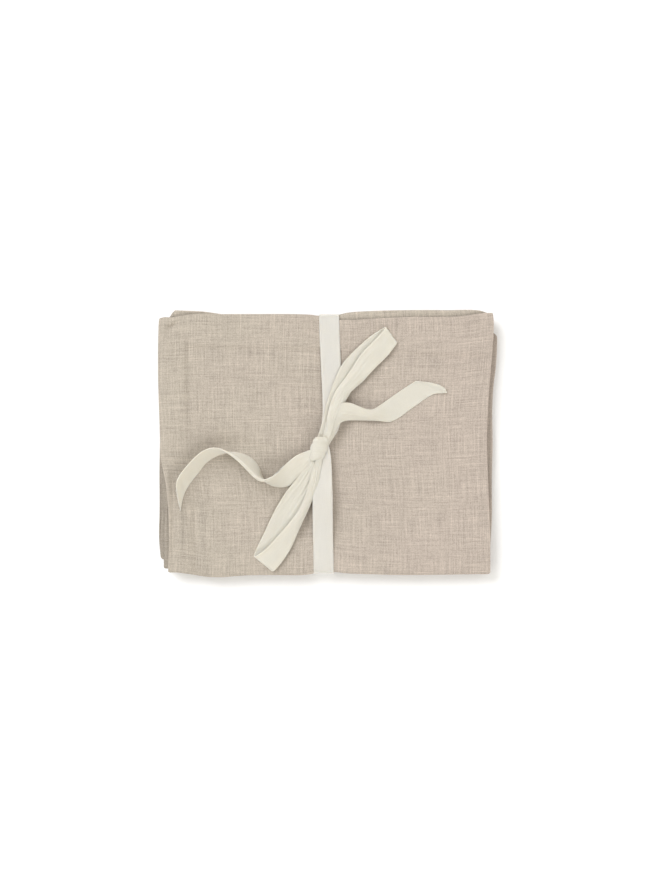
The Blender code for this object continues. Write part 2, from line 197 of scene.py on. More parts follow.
LOOP_LOWER_ROWS = [
    (((-12.0, -5.0, 25.7), (-6.5, -8.0, 25.3)), 0.07, 0.04),
    (((-17.6, -15.7, 25.1), (-9.8, -18.7, 24.8)), 0.07, 0.11),
    (((-22.5, -23.7, 24.1), (-11.5, -28.7, 24.1)), -0.21, 0.26),
    (((-28.5, -32.2, 22.6), (-14.0, -38.7, 22.8)), -0.56, 0.32),
    (((-36.0, -41.1, 21.5), (-18.0, -49.7, 21.7)), -0.63, 0.28),
    (((-42.0, -48.7, 20.9), (-23.4, -57.7, 21.1)), -0.56, 0.24),
    (((-47.5, -57.3, 20.5), (-28.4, -66.7, 20.6)), -0.42, 0.18),
    (((-53.0, -66.7, 20.3), (-34.0, -76.3, 20.3)), -0.28, 0.13),
    (((-58.0, -76.7, 20.0), (-39.6, -86.3, 19.9)), -0.17, 0.09),
    (((-63.0, -87.7, 19.8), (-45.0, -97.3, 19.7)), -0.10, 0.07),
    (((-67.4, -96.7, 19.6), (-49.0, -106.3, 19.6)), -0.03, 0.04),
    (((-71.2, -104.5, 19.0), (-52.2, -115.1, 19.0)), 0.00, 0.03),
    (((-73.4, -109.5, 19.1), (-54.4, -123.3, 19.1)), 0.00, 0.01),
    (((-74.1, -112.5, 19.9), (-56.4, -127.3, 19.8)), 0.00, 0.00),
    (((-73.5, -113.2, 20.9), (-54.5, -127.8, 20.6)), 0.00, 0.00),
    (((-70.5, -111.6, 21.8), (-50.9, -124.6, 21.0)), 0.09, 0.00),
    (((-63.5, -106.9, 21.9), (-45.5, -117.8, 21.2)), 0.27, 0.01),
    (((-57.5, -101.1, 21.9), (-41.3, -111.8, 21.3)), 0.45, 0.04),
    (((-51.2, -94.1, 21.9), (-37.3, -105.2, 21.4)), 0.72, 0.06),
    (((-45.4, -87.5, 21.9), (-33.5, -97.0, 20.9)), 1.24, 0.07),
    (((-40.0, -81.3, 21.9), (-29.8, -88.2, 20.9)), 1.57, 0.08),
    (((-35.0, -75.0, 22.0), (-26.0, -80.0, 20.4)), 2.30, 0.14),
    (((-30.3, -68.9, 22.1), (-21.8, -71.2, 20.6)), 2.41, 0.15),
    (((-26.5, -61.9, 22.3), (-18.2, -63.1, 20.9)), 2.41, 0.18),
    (((-23.3, -54.5, 22.5), (-14.8, -55.1, 21.3)), 2.30, 0.19),
    (((-20.5, -46.6, 23.5), (-11.2, -45.3, 21.9)), 2.07, 0.20),
    (((-18.3, -37.6, 24.0), (-8.0, -35.3, 23.1)), 1.85, 0.23),
    (((-16.3, -29.6, 24.6), (-7.0, -26.7, 23.9)), 1.62, 0.27),
    (((-13.9, -22.7, 25.0), (-6.4, -19.7, 25.4)), 0.79, 0.28),
    (((-11.4, -14.7, 27.0), (-5.6, -12.7, 26.1)), 0.45, 0.14),
    (((-9.4, -6.0, 26.7), (-5.0, -4.6, 26.1)), 0.34, 0.08),
]

TAIL_RIGHT_ROWS = [
    (((-9.0, -6.0, 25.9), (-3.0, -9.0, 24.5)), 0.60, 0.10),
    (((-6.0, 2.2, 26.1), (0.6, -2.6, 24.2)), 0.90, 0.14),
    (((-4.4, 10.2, 26.0), (4.2, 4.0, 23.9)), 1.20, 0.16),
    (((-2.2, 19.2, 25.7), (7.2, 10.7, 23.6)), 1.50, 0.16),
    (((1.0, 27.7, 25.2), (10.2, 17.2, 23.2)), 1.80, 0.14),
    (((6.4, 35.6, 24.6), (14.0, 21.2, 22.6)), 1.90, 0.12),
    (((13.6, 40.0, 25.5), (19.6, 22.6, 21.7)), 2.00, 0.10),
    (((22.0, 40.2, 26.6), (25.6, 22.9, 21.0)), 2.40, 0.10),
    (((30.6, 37.0, 25.8), (31.6, 22.8, 20.9)), 2.60, 0.08),
    (((38.4, 34.2, 24.1), (37.9, 22.7, 21.4)), 3.00, 0.06),
    (((45.0, 34.0, 22.1), (45.3, 22.6, 21.4)), 3.00, 0.05),
    (((51.2, 37.6, 20.2), (52.9, 22.0, 20.7)), 2.20, 0.04),
    (((58.4, 42.6, 19.2), (61.6, 21.2, 19.6)), 1.20, 0.03),
    (((66.2, 48.2, 19.1), (70.6, 25.2, 19.1)), 0.50, 0.02),
    (((74.4, 53.8, 19.0), (79.6, 31.6, 19.0)), 0.30, 0.00),
    (((82.0, 58.8, 19.0), (90.0, 39.2, 19.0)), 0.20, 0.00),
    (((85.4, 61.0, 19.1), (96.6, 57.2, 19.0), (103.6, 52.6, 19.0), (105.0, 48.6, 19.0)), 0.10, 0.00),
    (((87.6, 62.4, 19.4), (101.3, 61.0, 19.4), (111.3, 58.6, 19.4), (117.5, 55.0, 19.5), (119.1, 50.0, 19.6)), 0.00, 0.00),
]

TAIL_LEFT_ROWS = [
    (((-7.0, -2.0, 26.3), (-8.0, -13.0, 24.1)), 0.60, 0.10),
    (((-12.0, -2.6, 26.7), (-13.0, -17.0, 23.6)), 0.80, 0.14),
    (((-17.6, -6.4, 26.9), (-18.0, -24.2, 22.8)), 0.90, 0.16),
    (((-24.9, -9.3, 26.7), (-24.4, -33.4, 21.1)), 1.00, 0.16),
    (((-31.5, -12.3, 26.6), (-30.4, -38.7, 19.9)), 1.00, 0.12),
    (((-37.9, -17.1, 27.0), (-36.4, -42.1, 19.5)), 0.90, 0.08),
    (((-43.9, -22.7, 27.9), (-44.2, -22.3, 28.1), (-43.4, -43.9, 19.3)), 0.40, 0.06),
    (((-49.6, -29.0, 29.7), (-50.3, -28.2, 30.2), (-50.6, -43.9, 19.1)), 0.40, 0.04),
    (((-55.2, -34.7, 32.0), (-56.2, -33.2, 32.8), (-57.6, -41.9, 19.1)), 0.30, 0.02),
    (((-61.5, -38.0, 34.3), (-61.9, -35.7, 35.4), (-63.0, -38.6, 18.9)), 0.20, 0.00),
    (((-68.5, -37.4, 35.4), (-67.5, -35.1, 36.5), (-65.6, -32.4, 18.9)), 0.20, 0.00),
    (((-75.1, -32.6, 35.8), (-73.4, -30.7, 37.0), (-68.4, -24.6, 18.9)), 0.30, 0.00),
    (((-81.2, -26.4, 36.0), (-79.3, -24.6, 37.2), (-72.8, -18.0, 18.9)), 0.40, 0.00),
    (((-87.4, -20.0, 36.1), (-85.7, -18.2, 37.2), (-79.4, -12.8, 18.9)), 0.35, 0.00),
    (((-93.5, -14.6, 36.3), (-92.2, -12.8, 37.3), (-88.2, -9.4, 18.8)), 0.25, 0.00),
    (((-99.9, -10.1, 36.7), (-99.2, -8.7, 37.4), (-98.0, -9.0, 18.8)), 0.10, 0.00),
    (((-106.0, -6.5, 36.9), (-105.7, -5.7, 37.2), (-106.4, -11.0, 18.8)), -0.05, 0.00),
    (((-112.1, -4.5, 36.4), (-113.2, -13.8, 18.8)), -0.50, 0.00),
    (((-118.5, -5.3, 34.8), (-119.2, -17.6, 18.8)), -0.90, 0.00),
    (((-125.0, -8.1, 33.0), (-124.4, -22.8, 18.8)), -1.10, 0.00),
    (((-131.6, -13.3, 31.8), (-129.2, -29.2, 18.8)), -1.10, 0.00),
    (((-137.8, -19.6, 31.4), (-133.8, -34.8, 18.8)), -1.00, 0.00),
    (((-143.4, -26.2, 31.6), (-137.8, -40.2, 18.8)), -0.80, 0.00),
    (((-148.0, -32.5, 31.6), (-141.4, -46.0, 18.8)), -0.60, 0.00),
    (((-150.5, -37.9, 31.4), (-147.2, -45.6, 25.4), (-144.0, -51.8, 18.8)), -0.30, 0.00),
    (((-150.9, -41.1, 30.8), (-149.3, -50.6, 25.0), (-147.4, -58.2, 21.2), (-145.8, -58.2, 18.8)), 0.00, 0.00),
    (((-151.0, -42.9, 30.4), (-150.3, -53.2, 25.8), (-148.9, -61.2, 21.8), (-147.4, -67.7, 18.9)), 0.00, 0.00),
]


# ------------------------------------------------------------------ small tools
def smooth01(t):
    t = np.clip(t, 0.0, 1.0)
    return t * t * (3.0 - 2.0 * t)


def curve(points):
    """A smooth function through a list of (where, value) pairs."""
    xs = np.array([p[0] for p in points], float)
    ys = np.array([p[1] for p in points], float)
    slopes = np.zeros_like(ys)
    secant = np.diff(ys) / np.diff(xs)
    slopes[1:-1] = 0.5 * (secant[1:] + secant[:-1])
    flat = secant[1:] * secant[:-1] <= 0
    slopes[1:-1][flat] *= 0.35
    slopes[0], slopes[-1] = secant[0], secant[-1]

    def value(q):
        q = np.clip(q, xs[0], xs[-1])
        i = np.clip(np.searchsorted(xs, q, side="right") - 1, 0, len(xs) - 2)
        step = xs[i + 1] - xs[i]
        t = (q - xs[i]) / step
        t2, t3 = t * t, t * t * t
        return ((2 * t3 - 3 * t2 + 1) * ys[i] + (t3 - 2 * t2 + t) * step * slopes[i]
                + (-2 * t3 + 3 * t2) * ys[i + 1] + (t3 - t2) * step * slopes[i + 1])

    return value


def noise(seed):
    """Smooth value noise between -1 and 1, the same on every run."""
    grid = np.random.default_rng(seed).uniform(-1.0, 1.0, (97, 97))

    def value(x, y, size_x, size_y=None):
        u = np.asarray(x, float) / size_x + 40.0
        v = np.asarray(y, float) / (size_y or size_x) + 40.0
        i, j = np.floor(u).astype(int), np.floor(v).astype(int)
        fu, fv = smooth01(u - i), smooth01(v - j)
        i0, i1, j0, j1 = i % 97, (i + 1) % 97, j % 97, (j + 1) % 97
        low = grid[i0, j0] * (1 - fu) + grid[i1, j0] * fu
        high = grid[i0, j1] * (1 - fu) + grid[i1, j1] * fu
        return low * (1 - fv) + high * fv

    return value


def unit(v):
    return v / np.maximum(np.linalg.norm(v, axis=-1, keepdims=True), 1e-12)


def make_object(name, verts, faces, uvs, material):
    """A mesh object from arrays, in mm, with one UV per vertex in metres."""
    mesh = bpy.data.meshes.new(name)
    mesh.from_pydata((verts * MM).tolist(), [], [list(map(int, f)) for f in faces])
    layer = mesh.uv_layers.new(name="UVMap")
    index = np.empty(len(mesh.loops), dtype=np.int32)
    mesh.loops.foreach_get("vertex_index", index)
    layer.data.foreach_set("uv", np.ascontiguousarray(uvs[index], dtype=np.float32).ravel())
    mesh.shade_smooth()
    mesh.materials.append(material)
    mesh.validate()
    obj = bpy.data.objects.new(name, mesh)
    bpy.context.scene.collection.objects.link(obj)
    return obj


def grid_normals(points, wrap=False):
    if wrap:
        du = np.roll(points, -1, axis=0) - np.roll(points, 1, axis=0)
    else:
        du = np.gradient(points, axis=0)
    dv = np.gradient(points, axis=1)
    return unit(np.cross(du, dv))


def thick_grid(name, points, thickness, uvs, material, wrap=False):
    """A woven sheet with two faces and a closed rim, from a grid of points in mm."""
    n, m = points.shape[:2]
    normals = grid_normals(points, wrap)
    half = 0.5 * np.broadcast_to(thickness, (n, m))[..., None]
    verts = np.concatenate([(points + normals * half).reshape(-1, 3),
                            (points - normals * half).reshape(-1, 3)])
    flat_uv = uvs.reshape(-1, 2)
    all_uv = np.concatenate([flat_uv, flat_uv])
    ids = np.arange(n * m).reshape(n, m)
    if wrap:
        ids = np.concatenate([ids, ids[:1]], axis=0)
    a, b, c, d = ids[:-1, :-1], ids[1:, :-1], ids[1:, 1:], ids[:-1, 1:]
    upper = np.stack([a, b, c, d], axis=-1).reshape(-1, 4)
    lower = np.stack([d, c, b, a], axis=-1).reshape(-1, 4) + n * m
    rims = []

    def rim(line):
        p, q = line[:-1], line[1:]
        rims.append(np.stack([p, p + n * m, q + n * m, q], axis=-1))

    rim(ids[:, 0])
    rim(ids[::-1, -1])
    if not wrap:
        rim(ids[0, ::-1])
        rim(ids[-1, :])
    faces = np.concatenate([upper, lower] + rims)
    return make_object(name, verts, faces, all_uv, material)


# ------------------------------------------------------------------ materials
class Nodes:
    """A short way to write a material's nodes."""

    def __init__(self, name):
        self.material = bpy.data.materials.new(name)
        self.material.use_nodes = True
        self.tree = self.material.node_tree
        self.shader = self.tree.nodes["Principled BSDF"]

    def node(self, kind, **settings):
        made = self.tree.nodes.new(kind)
        for key, value in settings.items():
            setattr(made, key, value)
        return made

    def put(self, socket, value):
        if isinstance(value, bpy.types.NodeSocket):
            self.tree.links.new(value, socket)
        elif value is not None:
            socket.default_value = value

    def math(self, operation, a, b=None, c=None, clamp=False):
        made = self.node("ShaderNodeMath", operation=operation, use_clamp=clamp)
        for socket, value in zip(made.inputs, (a, b, c)):
            self.put(socket, value)
        return made.outputs[0]

    def add(self, a, b):
        return self.math("ADD", a, b)

    def sub(self, a, b):
        return self.math("SUBTRACT", a, b)

    def mul(self, a, b):
        return self.math("MULTIPLY", a, b)

    def fma(self, a, b, c):
        return self.math("MULTIPLY_ADD", a, b, c)

    def xyz(self, x=0.0, y=0.0, z=0.0):
        made = self.node("ShaderNodeCombineXYZ")
        for socket, value in zip(made.inputs, (x, y, z)):
            self.put(socket, value)
        return made.outputs[0]

    def noise(self, vector, scale=1.0, detail=2.0, roughness=0.5):
        made = self.node("ShaderNodeTexNoise", noise_dimensions="3D")
        self.put(made.inputs["Vector"], vector)
        made.inputs["Scale"].default_value = scale
        made.inputs["Detail"].default_value = detail
        made.inputs["Roughness"].default_value = roughness
        return made.outputs[0]

    def white(self, vector):
        made = self.node("ShaderNodeTexWhiteNoise", noise_dimensions="3D")
        self.put(made.inputs["Vector"], vector)
        return made.outputs["Value"]

    def mix(self, factor, a, b):
        made = self.node("ShaderNodeMix", data_type="RGBA", clamp_factor=True)
        self.put(made.inputs[0], factor)
        self.put(made.inputs[6], a)
        self.put(made.inputs[7], b)
        return made.outputs[2]

    def scale_colour(self, colour, factor):
        made = self.node("ShaderNodeVectorMath", operation="SCALE")
        self.put(made.inputs[0], colour)
        self.put(made.inputs["Scale"], factor)
        return made.outputs[0]

    def remap(self, value, low, high, to_low, to_high):
        made = self.node("ShaderNodeMapRange", clamp=True)
        for key, number in (("From Min", low), ("From Max", high), ("To Min", to_low), ("To Max", to_high)):
            made.inputs[key].default_value = number
        self.put(made.inputs["Value"], value)
        return made.outputs["Result"]

    def bump(self, height, strength, distance, normal=None):
        made = self.node("ShaderNodeBump")
        made.inputs["Strength"].default_value = strength
        made.inputs["Distance"].default_value = distance
        self.put(made.inputs["Height"], height)
        if normal is not None:
            self.put(made.inputs["Normal"], normal)
        return made.outputs["Normal"]

    def uv_mm(self):
        uv = self.node("ShaderNodeUVMap", uv_map="UVMap").outputs[0]
        parts = self.node("ShaderNodeSeparateXYZ")
        self.put(parts.inputs[0], uv)
        return self.mul(parts.outputs[0], 1000.0), self.mul(parts.outputs[1], 1000.0)


def linen_material(name, seed, tint, painted_shade_lines=()):
    """Natural linen: a plain weave of uneven, slubby yarn, with a stitched hem, and painted shade along any lines it is
    given.
    """
    k = Nodes(name)
    u, v = k.uv_mm()
    # the yarns wander a little, so the grid isn't ruled
    sway_u = k.noise(k.xyz(k.mul(u, 0.05), k.mul(v, 0.016), seed + 0.5), 1.0, 2.0)
    sway_v = k.noise(k.xyz(k.mul(u, 0.016), k.mul(v, 0.05), seed + 9.5), 1.0, 2.0)
    pitch = 0.80
    warp = k.fma(sway_u, 2.4, k.mul(u, 1.0 / pitch))
    weft = k.fma(sway_v, 2.4, k.mul(v, 1.0 / pitch))
    warp_id, weft_id = k.math("FLOOR", warp), k.math("FLOOR", weft)
    warp_round = k.math("SINE", k.mul(k.math("FRACT", warp), math.pi))
    weft_round = k.math("SINE", k.mul(k.math("FRACT", weft), math.pi))
    warp_sign = k.fma(k.math("FLOORED_MODULO", warp_id, 2.0), -2.0, 1.0)
    weft_sign = k.fma(k.math("FLOORED_MODULO", weft_id, 2.0), -2.0, 1.0)
    warp_lift = k.mul(k.math("SINE", k.mul(weft, math.pi)), warp_sign)
    weft_lift = k.mul(k.math("SINE", k.mul(warp, math.pi)), weft_sign)
    # each yarn has its own shade, and thickens and thins along its length
    warp_slub = k.noise(k.xyz(k.mul(warp_id, 7.31), k.mul(v, 0.042), seed + 2.0), 1.0, 2.0, 0.6)
    weft_slub = k.noise(k.xyz(k.mul(u, 0.042), k.mul(weft_id, 7.31), seed + 4.0), 1.0, 2.0, 0.6)
    warp_size = k.fma(warp_slub, 0.9, 0.30)
    weft_size = k.fma(weft_slub, 0.9, 0.30)
    warp_h = k.mul(k.mul(warp_round, warp_size), k.fma(warp_lift, 0.40, 0.62))
    weft_h = k.mul(k.mul(weft_round, weft_size), k.fma(weft_lift, -0.40, 0.62))
    height = k.math("MAXIMUM", warp_h, weft_h)
    on_top = k.math("GREATER_THAN", warp_h, weft_h)
    crossing = k.white(k.xyz(warp_id, weft_id, seed))
    shade = k.add(k.mul(on_top, warp_slub), k.mul(k.sub(1.0, on_top), weft_slub))
    level = k.fma(k.sub(shade, 0.5), YARN_CONTRAST, 1.0)
    level = k.fma(k.sub(crossing, 0.5), CROSSING_CONTRAST, level)
    # the odd bold slub, lighter and proud, and the odd thin dark yarn
    streak_up = k.noise(k.xyz(k.mul(u, 0.95), k.mul(v, 0.024), seed + 20.0), 1.0, 1.0, 0.5)
    streak_on = k.noise(k.xyz(k.mul(u, 0.024), k.mul(v, 0.95), seed + 30.0), 1.0, 1.0, 0.5)
    level = k.fma(k.sub(k.add(streak_up, streak_on), 1.0), STREAK_CONTRAST, level)
    bold = k.add(k.remap(streak_up, 0.62, 0.74, 0.0, 1.0), k.remap(streak_on, 0.62, 0.74, 0.0, 1.0))
    thin = k.add(k.remap(streak_up, 0.26, 0.38, 1.0, 0.0), k.remap(streak_on, 0.26, 0.38, 1.0, 0.0))
    level = k.fma(bold, 0.11, level)
    level = k.fma(thin, -0.06, level)
    cloudy = k.noise(k.xyz(k.mul(u, 0.014), k.mul(v, 0.014), seed + 50.0), 1.0, 3.0, 0.6)
    level = k.fma(k.sub(cloudy, 0.5), 0.07, level)
    # painted shade: the low places between the yarns are darkened, down to 72 % of the level
    level = k.mul(level, k.remap(height, 0.04, 0.40, 0.72, 1.0))
    # a row of stitches holds the turned hem, close inside each cut edge
    edge_u = k.math("MINIMUM", u, k.sub(2 * CLOTH_WIDE, u))
    edge_v = k.math("MINIMUM", v, k.sub(2 * CLOTH_LONG, v))
    row_u = k.remap(k.math("ABSOLUTE", k.sub(edge_u, HEM_WIDE - 1.6)), 0.18, 0.34, 1.0, 0.0)
    row_v = k.remap(k.math("ABSOLUTE", k.sub(edge_v, HEM_WIDE - 1.6)), 0.18, 0.34, 1.0, 0.0)
    dash_v = k.remap(k.math("PINGPONG", v, 1.5), 0.28, 0.45, 0.0, 1.0)
    dash_u = k.remap(k.math("PINGPONG", u, 1.5), 0.28, 0.45, 0.0, 1.0)
    inside = k.mul(k.math("GREATER_THAN", edge_u, HEM_WIDE - 2.2), k.math("GREATER_THAN", edge_v, HEM_WIDE - 2.2))
    stitch = k.mul(k.math("MAXIMUM", k.mul(row_u, dash_v), k.mul(row_v, dash_u)), inside)
    # painted shade in the dips between the stitches along the row, 14 % darker; the stitches themselves are a little
    # lighter
    stitch_gap_shade = k.mul(k.math("MAXIMUM", k.mul(row_u, k.sub(1.0, dash_v)), k.mul(row_v, k.sub(1.0, dash_u))), inside)
    level = k.fma(stitch, 0.05, k.fma(stitch_gap_shade, -0.14, level))
    # painted shade: darker lines along the given places, the top cloth's creases or the lower cloths' folded left rims
    for axis, place, width, low, high, amount in painted_shade_lines:
        away, along = (u, v) if axis == "u" else (v, u)
        away = k.math("ABSOLUTE", k.sub(k.fma(sway_u if axis == "u" else sway_v, 2.0, away), place + 1.0))
        shade_mark = k.remap(away, 0.0, width, 1.0, 0.0)
        shade_mark = k.mul(k.mul(shade_mark, shade_mark), k.mul(k.remap(along, low, low + 16.0, 0.0, 1.0),
                                              k.remap(along, high - 16.0, high, 1.0, 0.0)))
        level = k.fma(shade_mark, -amount, level)
    # a cut edge rubs paler
    rub = k.remap(k.math("MINIMUM", edge_u, edge_v), 0.2, 1.6, 0.05, 0.0)
    level = k.add(level, rub)
    # one side of the length is a shade greener, the other a shade warmer
    grey = (tint[0] * 0.993, tint[1] * 1.010, tint[2] * 0.990, 1.0)
    warm = (tint[0] * 1.013, tint[1] * 0.994, tint[2] * 1.000, 1.0)
    hue = k.noise(k.xyz(k.mul(u, 0.012), k.mul(v, 0.012), seed + 70.0), 1.0, 2.0, 0.5)
    hue = k.fma(k.sub(hue, 0.5), 0.9, k.fma(u, -1.0 / CLOTH_WIDE, 1.0))
    colour = k.mix(k.remap(hue, 0.1, 0.9, 0.0, 1.0), grey, warm)
    k.put(k.shader.inputs["Base Color"], k.scale_colour(colour, level))
    fuzz = k.noise(k.xyz(k.mul(u, 2.4), k.mul(v, 2.4), seed + 90.0), 1.0, 3.0, 0.7)
    k.put(k.shader.inputs["Roughness"], k.fma(fuzz, 0.12, 0.84))
    k.shader.inputs["Specular IOR Level"].default_value = 0.2
    k.shader.inputs["Sheen Weight"].default_value = 0.12
    k.shader.inputs["Sheen Roughness"].default_value = 0.55
    k.shader.inputs["Sheen Tint"].default_value = (0.93, 0.87, 0.78, 1.0)
    relief = k.fma(fuzz, 0.10, height)
    relief = k.fma(bold, 0.12, relief)
    relief = k.fma(stitch, 0.9, relief)
    k.put(k.shader.inputs["Normal"], k.bump(relief, 0.8, 0.00028))
    return k.material


def tape_material(name, seed, tint):
    """Unbleached cotton tape: a fine twill with firm selvages."""
    k = Nodes(name)
    u, v = k.uv_mm()
    bend = k.noise(k.xyz(k.mul(u, 0.2), k.mul(v, 0.05), seed), 1.0, 2.0)
    lean = k.add(k.mul(u, 1.0 / 0.52), k.mul(v, 1.0 / 0.60))
    rib = k.math("SINE", k.mul(k.fma(bend, 1.2, lean), 2.0 * math.pi))
    yarn = k.math("SINE", k.mul(k.mul(v, 1.0 / 0.36), 2.0 * math.pi))
    along = k.noise(k.xyz(k.mul(u, 2.1), k.mul(v, 0.05), seed + 3.0), 1.0, 2.0, 0.6)
    across = k.noise(k.xyz(k.mul(u, 0.1), k.mul(v, 1.3), seed + 5.0), 1.0, 2.0, 0.6)
    cloudy = k.noise(k.xyz(k.mul(u, 0.05), k.mul(v, 0.03), seed + 8.0), 1.0, 3.0)
    fuzz = k.noise(k.xyz(k.mul(u, 3.2), k.mul(v, 3.2), seed + 13.0), 1.0, 3.0, 0.7)
    side = k.math("ABSOLUTE", k.sub(k.mul(u, 2.0 / TAPE_WIDE), 1.0))
    selvage = k.remap(side, 0.90, 0.95, 0.0, 1.0)
    height = k.fma(rib, 0.5, 0.5)
    height = k.fma(yarn, 0.16, height)
    height = k.add(height, k.mul(selvage, 0.35))
    # painted light and shade: the tape's tone follows its relief, darker in the twill's hollows and lighter on its ribs
    # and raised selvages
    level = k.fma(height, 0.05, 0.935)
    level = k.add(level, k.mul(k.sub(along, 0.5), 0.10))
    level = k.add(level, k.mul(k.sub(across, 0.5), 0.05))
    level = k.add(level, k.mul(k.sub(cloudy, 0.5), 0.05))
    fleck = k.remap(k.noise(k.xyz(k.mul(u, 1.1), k.mul(v, 1.1), seed + 17.0), 1.0, 2.0), 0.70, 0.80, 0.0, 1.0)
    clean = (tint[0], tint[1], tint[2], 1.0)
    tan = (tint[0] * 0.86, tint[1] * 0.80, tint[2] * 0.70, 1.0)
    colour = k.mix(k.mul(fleck, 0.5), clean, tan)
    k.put(k.shader.inputs["Base Color"], k.scale_colour(colour, level))
    k.put(k.shader.inputs["Roughness"], k.fma(fuzz, 0.12, 0.78))
    k.shader.inputs["Specular IOR Level"].default_value = 0.25
    k.shader.inputs["Sheen Weight"].default_value = 0.15
    k.shader.inputs["Sheen Roughness"].default_value = 0.5
    k.shader.inputs["Sheen Tint"].default_value = (0.98, 0.95, 0.88, 1.0)
    relief = k.add(height, k.mul(fuzz, 0.25))
    normal = k.bump(relief, 0.55, 0.00012)
    k.put(k.shader.inputs["Normal"], normal)
    # thin cotton lets some light through, a little warmer than it came
    k.shader.inputs["Subsurface Weight"].default_value = 1.0
    k.shader.inputs["Subsurface Radius"].default_value = (1.0, 0.93, 0.82)
    k.shader.inputs["Subsurface Scale"].default_value = 0.0012
    return k.material


LINEN_TINT = (0.442, 0.385, 0.328)
TAPE_TINT = (0.662, 0.640, 0.590)
# the bow is the same tape as the band; its copy is tinted warmer and a shade darker, as painted warm bounce light and
# shade from the folded tape around it
TAPE_BOW_BOUNCE_TINT = (0.660, 0.632, 0.556)
YARN_CONTRAST = 0.80
CROSSING_CONTRAST = 0.22
STREAK_CONTRAST = 0.30
# painted shade: darker lines along the top cloth's creases, as well as their relief in stack_top; each row is axis,
# place, width, from, to, amount
PAINTED_CREASE_SHADE = (("u", 304.6, 6.0, 404.0, 506.0, 0.055), ("v", 485.0, 8.0, 205.0, 306.0, 0.05),
           ("u", 297.5, 9.0, 246.0, 344.0, 0.09), ("u", 306.0, 36.0, 246.0, 352.0, 0.035),
           ("u", 320.0, 5.0, 262.0, 376.0, 0.13), ("v", 479.0, 15.0, -4.0, 104.0, 0.045))
# painted shade along the lower cloths' left fold edges near the near left corner, where they show below the top cloth
RIM_SHADE = (("u", 333.0, 9.0, 236.0, 376.0, 0.22),)
linens = [linen_material("linen_weave_%d" % (i + 1), 11.0 * i + 3.0, LINEN_TINT, PAINTED_CREASE_SHADE if i == 0 else RIM_SHADE)
          for i in range(4)]
tape_look = tape_material("cotton_tape_weave", 5.0, TAPE_TINT)
# the bow's copy of the one tape, tinted warmer: painted bounce light and shade
bow_bounce_look = tape_material("cotton_tape_weave_bow_painted_bounce", 25.0, TAPE_BOW_BOUNCE_TINT)

# ------------------------------------------------------------------ the stack's shape
n_low, n_mid, n_fine = noise(101), noise(102), noise(103)
band_x = curve([(-135, -4.4), (-108, -4.6), (-77, -5.0), (-48, -5.1), (-22, -5.6), (0, 0.0),
                (22, 4.9), (46, 4.7), (77, 3.0), (106, 1.7), (135, 1.0)])


def ridge(distance, width):
    return np.exp(-(distance / width) ** 2)


